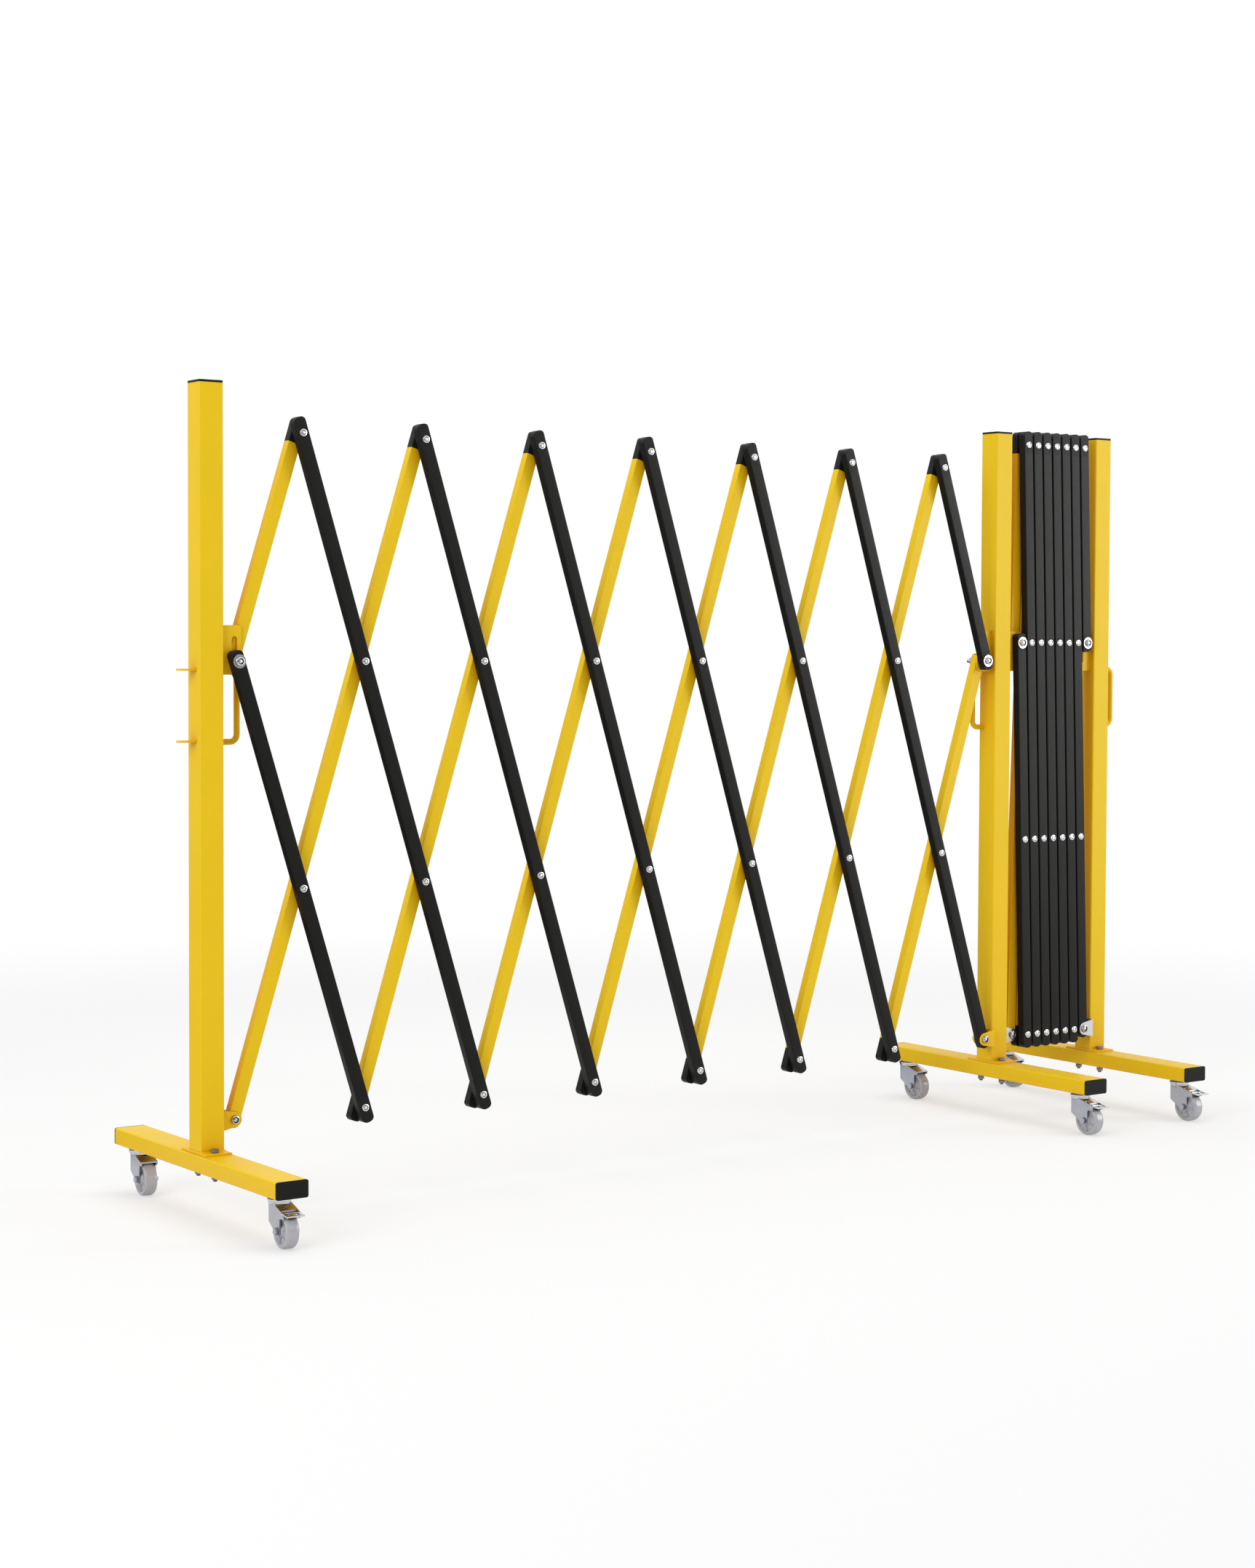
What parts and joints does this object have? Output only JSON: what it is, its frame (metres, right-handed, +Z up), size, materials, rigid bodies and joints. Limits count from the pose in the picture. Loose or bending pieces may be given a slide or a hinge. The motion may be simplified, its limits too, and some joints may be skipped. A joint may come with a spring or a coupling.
{
  "type": "expandable safety barrier",
  "caption": "Expandable safety barrier: square posts on castor feet, joined by riveted scissor lattices of yellow and black bars, one span open and one folded.",
  "frame": {"origin": "centre of the footprint of everything shown, on the floor under the wheels", "axes": "+X along the barrier from its open span to its folded span, +Y from front to back, +Z up"},
  "size_m": [1.8877, 0.5244, 1.2],
  "materials": {
    "yellow_paint": "satin powder coat",
    "black_paint": "satin powder coat",
    "black_plastic": "moulded polyethylene, matt",
    "grey_wheel": "moulded grey tread, satin",
    "zinc": "bright zinc plate"
  },
  "bodies": {
    "left_stand": {"left_post": "yellow_paint", "left_foot": "yellow_paint", "left_caps": "black_plastic", "left_fixings": "zinc"},
    "middle_stand": {"middle_post": "yellow_paint", "middle_foot": "yellow_paint", "middle_caps": "black_plastic", "middle_fixings": "zinc"},
    "right_stand": {"right_post": "yellow_paint", "right_foot": "yellow_paint", "right_caps": "black_plastic", "right_fixings": "zinc"},
    "left_black_bar_1": {"left_black_bar_1": "black_paint"},
    "left_black_bar_2": {"left_black_bar_2": "black_paint"},
    "left_black_bar_3": {"left_black_bar_3": "black_paint"},
    "left_black_bar_4": {"left_black_bar_4": "black_paint"},
    "left_black_bar_5": {"left_black_bar_5": "black_paint"},
    "left_black_bar_6": {"left_black_bar_6": "black_paint"},
    "left_black_bar_7": {"left_black_bar_7": "black_paint"},
    "left_black_bar_8": {"left_black_bar_8": "black_paint"},
    "left_yellow_bar_1": {"left_yellow_bar_1": "yellow_paint"},
    "left_yellow_bar_2": {"left_yellow_bar_2": "yellow_paint"},
    "left_yellow_bar_3": {"left_yellow_bar_3": "yellow_paint"},
    "left_yellow_bar_4": {"left_yellow_bar_4": "yellow_paint"},
    "left_yellow_bar_5": {"left_yellow_bar_5": "yellow_paint"},
    "left_yellow_bar_6": {"left_yellow_bar_6": "yellow_paint"},
    "left_yellow_bar_7": {"left_yellow_bar_7": "yellow_paint"},
    "left_yellow_bar_8": {"left_yellow_bar_8": "yellow_paint"},
    "right_black_bar_1": {"right_black_bar_1": "black_paint"},
    "right_black_bar_2": {"right_black_bar_2": "black_paint"},
    "right_black_bar_3": {"right_black_bar_3": "black_paint"},
    "right_black_bar_4": {"right_black_bar_4": "black_paint"},
    "right_black_bar_5": {"right_black_bar_5": "black_paint"},
    "right_black_bar_6": {"right_black_bar_6": "black_paint"},
    "right_black_bar_7": {"right_black_bar_7": "black_paint"},
    "right_black_bar_8": {"right_black_bar_8": "black_paint"},
    "right_yellow_bar_1": {"right_yellow_bar_1": "yellow_paint"},
    "right_yellow_bar_2": {"right_yellow_bar_2": "yellow_paint"},
    "right_yellow_bar_3": {"right_yellow_bar_3": "yellow_paint"},
    "right_yellow_bar_4": {"right_yellow_bar_4": "yellow_paint"},
    "right_yellow_bar_5": {"right_yellow_bar_5": "yellow_paint"},
    "right_yellow_bar_6": {"right_yellow_bar_6": "yellow_paint"},
    "right_yellow_bar_7": {"right_yellow_bar_7": "yellow_paint"},
    "right_yellow_bar_8": {"right_yellow_bar_8": "yellow_paint"},
    "left_front_fork": {"left_front_fork": "zinc"},
    "left_front_wheel": {"left_front_wheel": "grey_wheel"},
    "left_rear_fork": {"left_rear_fork": "zinc"},
    "left_rear_wheel": {"left_rear_wheel": "grey_wheel"},
    "middle_front_fork": {"middle_front_fork": "zinc"},
    "middle_front_wheel": {"middle_front_wheel": "grey_wheel"},
    "middle_rear_fork": {"middle_rear_fork": "zinc"},
    "middle_rear_wheel": {"middle_rear_wheel": "grey_wheel"},
    "right_front_fork": {"right_front_fork": "zinc"},
    "right_front_wheel": {"right_front_wheel": "grey_wheel"},
    "right_rear_fork": {"right_rear_fork": "zinc"},
    "right_rear_wheel": {"right_rear_wheel": "grey_wheel"},
    "left_brake_pedal": {"left_brake_pedal": "zinc"},
    "middle_brake_pedal": {"middle_brake_pedal": "zinc"},
    "right_brake_pedal": {"right_brake_pedal": "zinc"}
  },
  "joints": [
    {"name": "left_span_fold", "type": "hinge", "parent": "middle_stand", "child": "left_black_bar_7", "pos_m": [0.59976, 0.00173, 0.139], "axis": [0, 1, 0], "range_deg": [0, 15.6]},
    {"name": "left_yellow_bar_6_pivot", "type": "hinge", "parent": "left_black_bar_7", "child": "left_yellow_bar_6", "pos_m": [0.28763, 0.00173, 1.12896], "axis": [0, 1, 0], "range_deg": [-31.2, 0]},
    {"name": "left_black_bar_4_pivot", "type": "hinge", "parent": "left_yellow_bar_6", "child": "left_black_bar_4", "pos_m": [-0.02451, 0.00173, 0.139], "axis": [0, 1, 0], "range_deg": [0, 31.2]},
    {"name": "left_yellow_bar_3_pivot", "type": "hinge", "parent": "left_black_bar_4", "child": "left_yellow_bar_3", "pos_m": [-0.33664, 0.00173, 1.12896], "axis": [0, 1, 0], "range_deg": [-31.2, 0]},
    {"name": "left_black_bar_2_pivot", "type": "hinge", "parent": "left_yellow_bar_3", "child": "left_black_bar_2", "pos_m": [-0.54473, 0.00173, 0.46899], "axis": [0, 1, 0], "range_deg": [0, 31.2]},
    {"name": "left_yellow_bar_2_pivot", "type": "hinge", "parent": "left_black_bar_2", "child": "left_yellow_bar_2", "pos_m": [-0.64877, 0.00173, 0.79897], "axis": [0, 1, 0], "range_deg": [-31.2, 0]},
    {"name": "left_stand_pivot", "type": "hinge", "parent": "left_yellow_bar_2", "child": "left_stand", "pos_m": [-0.85686, 0.00173, 0.139], "axis": [0, 1, 0], "range_deg": [0, 15.6]},
    {"name": "left_yellow_bar_7_pivot", "type": "hinge", "parent": "left_black_bar_7", "child": "left_yellow_bar_7", "pos_m": [0.39167, 0.00173, 0.79897], "axis": [0, 1, 0], "range_deg": [-31.2, 0]},
    {"name": "left_yellow_bar_8_pivot", "type": "hinge", "parent": "left_black_bar_7", "child": "left_yellow_bar_8", "pos_m": [0.49571, 0.00173, 0.46899], "axis": [0, 1, 0], "range_deg": [-31.2, 0]},
    {"name": "left_black_bar_8_pivot", "type": "hinge", "parent": "left_yellow_bar_7", "child": "left_black_bar_8", "pos_m": [0.49571, 0.00173, 1.12896], "axis": [0, 1, 0], "range_deg": [0, 31.2]},
    {"name": "left_black_bar_6_pivot", "type": "hinge", "parent": "left_yellow_bar_6", "child": "left_black_bar_6", "pos_m": [0.18358, 0.00173, 0.79897], "axis": [0, 1, 0], "range_deg": [0, 31.2]},
    {"name": "left_black_bar_5_pivot", "type": "hinge", "parent": "left_yellow_bar_6", "child": "left_black_bar_5", "pos_m": [0.07954, 0.00173, 0.46899], "axis": [0, 1, 0], "range_deg": [0, 31.2]},
    {"name": "left_yellow_bar_5_pivot", "type": "hinge", "parent": "left_black_bar_4", "child": "left_yellow_bar_5", "pos_m": [-0.12855, 0.00173, 0.46899], "axis": [0, 1, 0], "range_deg": [-31.2, 0]},
    {"name": "left_yellow_bar_4_pivot", "type": "hinge", "parent": "left_black_bar_4", "child": "left_yellow_bar_4", "pos_m": [-0.2326, 0.00173, 0.79897], "axis": [0, 1, 0], "range_deg": [-31.2, 0]},
    {"name": "left_black_bar_3_pivot", "type": "hinge", "parent": "left_yellow_bar_3", "child": "left_black_bar_3", "pos_m": [-0.44068, 0.00173, 0.79897], "axis": [0, 1, 0], "range_deg": [0, 31.2]},
    {"name": "left_yellow_bar_1_pivot", "type": "hinge", "parent": "left_black_bar_2", "child": "left_yellow_bar_1", "pos_m": [-0.75282, 0.00173, 1.12896], "axis": [0, 1, 0], "range_deg": [-31.2, 0]},
    {"name": "left_black_bar_1_pivot", "type": "hinge", "parent": "left_yellow_bar_2", "child": "left_black_bar_1", "pos_m": [-0.75282, 0.00173, 0.46899], "axis": [0, 1, 0], "range_deg": [0, 31.2]},
    {"name": "right_span_fold", "type": "hinge", "parent": "middle_stand", "child": "right_yellow_bar_2", "pos_m": [0.68176, 0.00173, 0.139], "axis": [0, 1, 0], "range_deg": [0, 15.6]},
    {"name": "right_black_bar_3_pivot", "type": "hinge", "parent": "right_yellow_bar_2", "child": "right_black_bar_3", "pos_m": [0.71617, 0.00173, 1.17643], "axis": [0, 1, 0], "range_deg": [-31.2, 0]},
    {"name": "right_yellow_bar_5_pivot", "type": "hinge", "parent": "right_black_bar_3", "child": "right_yellow_bar_5", "pos_m": [0.75059, 0.00173, 0.139], "axis": [0, 1, 0], "range_deg": [0, 31.2]},
    {"name": "right_black_bar_6_pivot", "type": "hinge", "parent": "right_yellow_bar_5", "child": "right_black_bar_6", "pos_m": [0.785, 0.00173, 1.17643], "axis": [0, 1, 0], "range_deg": [-31.2, 0]},
    {"name": "right_yellow_bar_7_pivot", "type": "hinge", "parent": "right_black_bar_6", "child": "right_yellow_bar_7", "pos_m": [0.80795, 0.00173, 0.48481], "axis": [0, 1, 0], "range_deg": [0, 31.2]},
    {"name": "right_black_bar_7_pivot", "type": "hinge", "parent": "right_yellow_bar_7", "child": "right_black_bar_7", "pos_m": [0.81942, 0.00173, 0.83062], "axis": [0, 1, 0], "range_deg": [-31.2, 0]},
    {"name": "right_stand_pivot", "type": "hinge", "parent": "right_black_bar_7", "child": "right_stand", "pos_m": [0.84236, 0.00173, 0.139], "axis": [0, 1, 0], "range_deg": [0, 15.6]},
    {"name": "right_black_bar_2_pivot", "type": "hinge", "parent": "right_yellow_bar_2", "child": "right_black_bar_2", "pos_m": [0.7047, 0.00173, 0.83062], "axis": [0, 1, 0], "range_deg": [-31.2, 0]},
    {"name": "right_black_bar_1_pivot", "type": "hinge", "parent": "right_yellow_bar_2", "child": "right_black_bar_1", "pos_m": [0.69323, 0.00173, 0.48481], "axis": [0, 1, 0], "range_deg": [-31.2, 0]},
    {"name": "right_yellow_bar_1_pivot", "type": "hinge", "parent": "right_black_bar_2", "child": "right_yellow_bar_1", "pos_m": [0.69323, 0.00173, 1.17643], "axis": [0, 1, 0], "range_deg": [0, 31.2]},
    {"name": "right_yellow_bar_3_pivot", "type": "hinge", "parent": "right_black_bar_3", "child": "right_yellow_bar_3", "pos_m": [0.72764, 0.00173, 0.83062], "axis": [0, 1, 0], "range_deg": [0, 31.2]},
    {"name": "right_yellow_bar_4_pivot", "type": "hinge", "parent": "right_black_bar_3", "child": "right_yellow_bar_4", "pos_m": [0.73912, 0.00173, 0.48481], "axis": [0, 1, 0], "range_deg": [0, 31.2]},
    {"name": "right_black_bar_4_pivot", "type": "hinge", "parent": "right_yellow_bar_5", "child": "right_black_bar_4", "pos_m": [0.76206, 0.00173, 0.48481], "axis": [0, 1, 0], "range_deg": [-31.2, 0]},
    {"name": "right_black_bar_5_pivot", "type": "hinge", "parent": "right_yellow_bar_5", "child": "right_black_bar_5", "pos_m": [0.77353, 0.00173, 0.83062], "axis": [0, 1, 0], "range_deg": [-31.2, 0]},
    {"name": "right_yellow_bar_6_pivot", "type": "hinge", "parent": "right_black_bar_6", "child": "right_yellow_bar_6", "pos_m": [0.79648, 0.00173, 0.83062], "axis": [0, 1, 0], "range_deg": [0, 31.2]},
    {"name": "right_yellow_bar_8_pivot", "type": "hinge", "parent": "right_black_bar_6", "child": "right_yellow_bar_8", "pos_m": [0.81942, 0.00173, 0.139], "axis": [0, 1, 0], "range_deg": [0, 31.2]},
    {"name": "right_black_bar_8_pivot", "type": "hinge", "parent": "right_yellow_bar_7", "child": "right_black_bar_8", "pos_m": [0.83089, 0.00173, 1.17643], "axis": [0, 1, 0], "range_deg": [-31.2, 0]},
    {"name": "left_front_swivel", "type": "hinge", "parent": "left_stand", "child": "left_front_fork", "pos_m": [-0.89786, -0.20627, 0.061], "axis": [0, 0, 1], "continuous": true},
    {"name": "left_front_roll", "type": "hinge", "parent": "left_front_fork", "child": "left_front_wheel", "pos_m": [-0.89978, -0.22818, 0.025], "axis": [0.9962, -0.0872, 0], "continuous": true},
    {"name": "left_rear_swivel", "type": "hinge", "parent": "left_stand", "child": "left_rear_fork", "pos_m": [-0.89786, 0.22573, 0.061], "axis": [0, 0, 1], "continuous": true},
    {"name": "left_rear_roll", "type": "hinge", "parent": "left_rear_fork", "child": "left_rear_wheel", "pos_m": [-0.89978, 0.20382, 0.025], "axis": [0.9962, -0.0872, 0], "continuous": true},
    {"name": "left_brake", "type": "hinge", "parent": "left_front_fork", "child": "left_brake_pedal", "pos_m": [-0.90109, -0.24313, 0.05], "axis": [0.9962, -0.0872, 0], "range_deg": [0, 10]},
    {"name": "middle_front_swivel", "type": "hinge", "parent": "middle_stand", "child": "middle_front_fork", "pos_m": [0.64076, -0.20627, 0.061], "axis": [0, 0, 1], "continuous": true},
    {"name": "middle_front_roll", "type": "hinge", "parent": "middle_front_fork", "child": "middle_front_wheel", "pos_m": [0.64076, -0.22827, 0.025], "axis": [1, 0, 0], "continuous": true},
    {"name": "middle_rear_swivel", "type": "hinge", "parent": "middle_stand", "child": "middle_rear_fork", "pos_m": [0.64076, 0.22573, 0.061], "axis": [0, 0, 1], "continuous": true},
    {"name": "middle_rear_roll", "type": "hinge", "parent": "middle_rear_fork", "child": "middle_rear_wheel", "pos_m": [0.64076, 0.20373, 0.025], "axis": [1, 0, 0], "continuous": true},
    {"name": "middle_brake", "type": "hinge", "parent": "middle_front_fork", "child": "middle_brake_pedal", "pos_m": [0.64076, -0.24327, 0.05], "axis": [1, 0, 0], "range_deg": [0, 10]},
    {"name": "right_front_swivel", "type": "hinge", "parent": "right_stand", "child": "right_front_fork", "pos_m": [0.88336, -0.20627, 0.061], "axis": [0, 0, 1], "continuous": true},
    {"name": "right_front_roll", "type": "hinge", "parent": "right_front_fork", "child": "right_front_wheel", "pos_m": [0.88336, -0.22827, 0.025], "axis": [1, 0, 0], "continuous": true},
    {"name": "right_rear_swivel", "type": "hinge", "parent": "right_stand", "child": "right_rear_fork", "pos_m": [0.88336, 0.22573, 0.061], "axis": [0, 0, 1], "continuous": true},
    {"name": "right_rear_roll", "type": "hinge", "parent": "right_rear_fork", "child": "right_rear_wheel", "pos_m": [0.88336, 0.20373, 0.025], "axis": [1, 0, 0], "continuous": true},
    {"name": "right_brake", "type": "hinge", "parent": "right_front_fork", "child": "right_brake_pedal", "pos_m": [0.88336, -0.24327, 0.05], "axis": [1, 0, 0], "range_deg": [0, 10]}
  ],
  "couplings": [
    {"joint": "left_yellow_bar_6_pivot", "follows": "left_span_fold", "ratio": -2},
    {"joint": "left_black_bar_4_pivot", "follows": "left_span_fold", "ratio": 2},
    {"joint": "left_yellow_bar_3_pivot", "follows": "left_span_fold", "ratio": -2},
    {"joint": "left_black_bar_2_pivot", "follows": "left_span_fold", "ratio": 2},
    {"joint": "left_yellow_bar_2_pivot", "follows": "left_span_fold", "ratio": -2},
    {"joint": "left_stand_pivot", "follows": "left_span_fold", "ratio": 1},
    {"joint": "left_yellow_bar_7_pivot", "follows": "left_span_fold", "ratio": -2},
    {"joint": "left_yellow_bar_8_pivot", "follows": "left_span_fold", "ratio": -2},
    {"joint": "left_black_bar_8_pivot", "follows": "left_span_fold", "ratio": 2},
    {"joint": "left_black_bar_6_pivot", "follows": "left_span_fold", "ratio": 2},
    {"joint": "left_black_bar_5_pivot", "follows": "left_span_fold", "ratio": 2},
    {"joint": "left_yellow_bar_5_pivot", "follows": "left_span_fold", "ratio": -2},
    {"joint": "left_yellow_bar_4_pivot", "follows": "left_span_fold", "ratio": -2},
    {"joint": "left_black_bar_3_pivot", "follows": "left_span_fold", "ratio": 2},
    {"joint": "left_yellow_bar_1_pivot", "follows": "left_span_fold", "ratio": -2},
    {"joint": "left_black_bar_1_pivot", "follows": "left_span_fold", "ratio": 2},
    {"joint": "right_black_bar_3_pivot", "follows": "right_span_fold", "ratio": -2},
    {"joint": "right_yellow_bar_5_pivot", "follows": "right_span_fold", "ratio": 2},
    {"joint": "right_black_bar_6_pivot", "follows": "right_span_fold", "ratio": -2},
    {"joint": "right_yellow_bar_7_pivot", "follows": "right_span_fold", "ratio": 2},
    {"joint": "right_black_bar_7_pivot", "follows": "right_span_fold", "ratio": -2},
    {"joint": "right_stand_pivot", "follows": "right_span_fold", "ratio": 1},
    {"joint": "right_black_bar_2_pivot", "follows": "right_span_fold", "ratio": -2},
    {"joint": "right_black_bar_1_pivot", "follows": "right_span_fold", "ratio": -2},
    {"joint": "right_yellow_bar_1_pivot", "follows": "right_span_fold", "ratio": 2},
    {"joint": "right_yellow_bar_3_pivot", "follows": "right_span_fold", "ratio": 2},
    {"joint": "right_yellow_bar_4_pivot", "follows": "right_span_fold", "ratio": 2},
    {"joint": "right_black_bar_4_pivot", "follows": "right_span_fold", "ratio": -2},
    {"joint": "right_black_bar_5_pivot", "follows": "right_span_fold", "ratio": -2},
    {"joint": "right_yellow_bar_6_pivot", "follows": "right_span_fold", "ratio": 2},
    {"joint": "right_yellow_bar_8_pivot", "follows": "right_span_fold", "ratio": 2},
    {"joint": "right_black_bar_8_pivot", "follows": "right_span_fold", "ratio": -2}
  ]
}
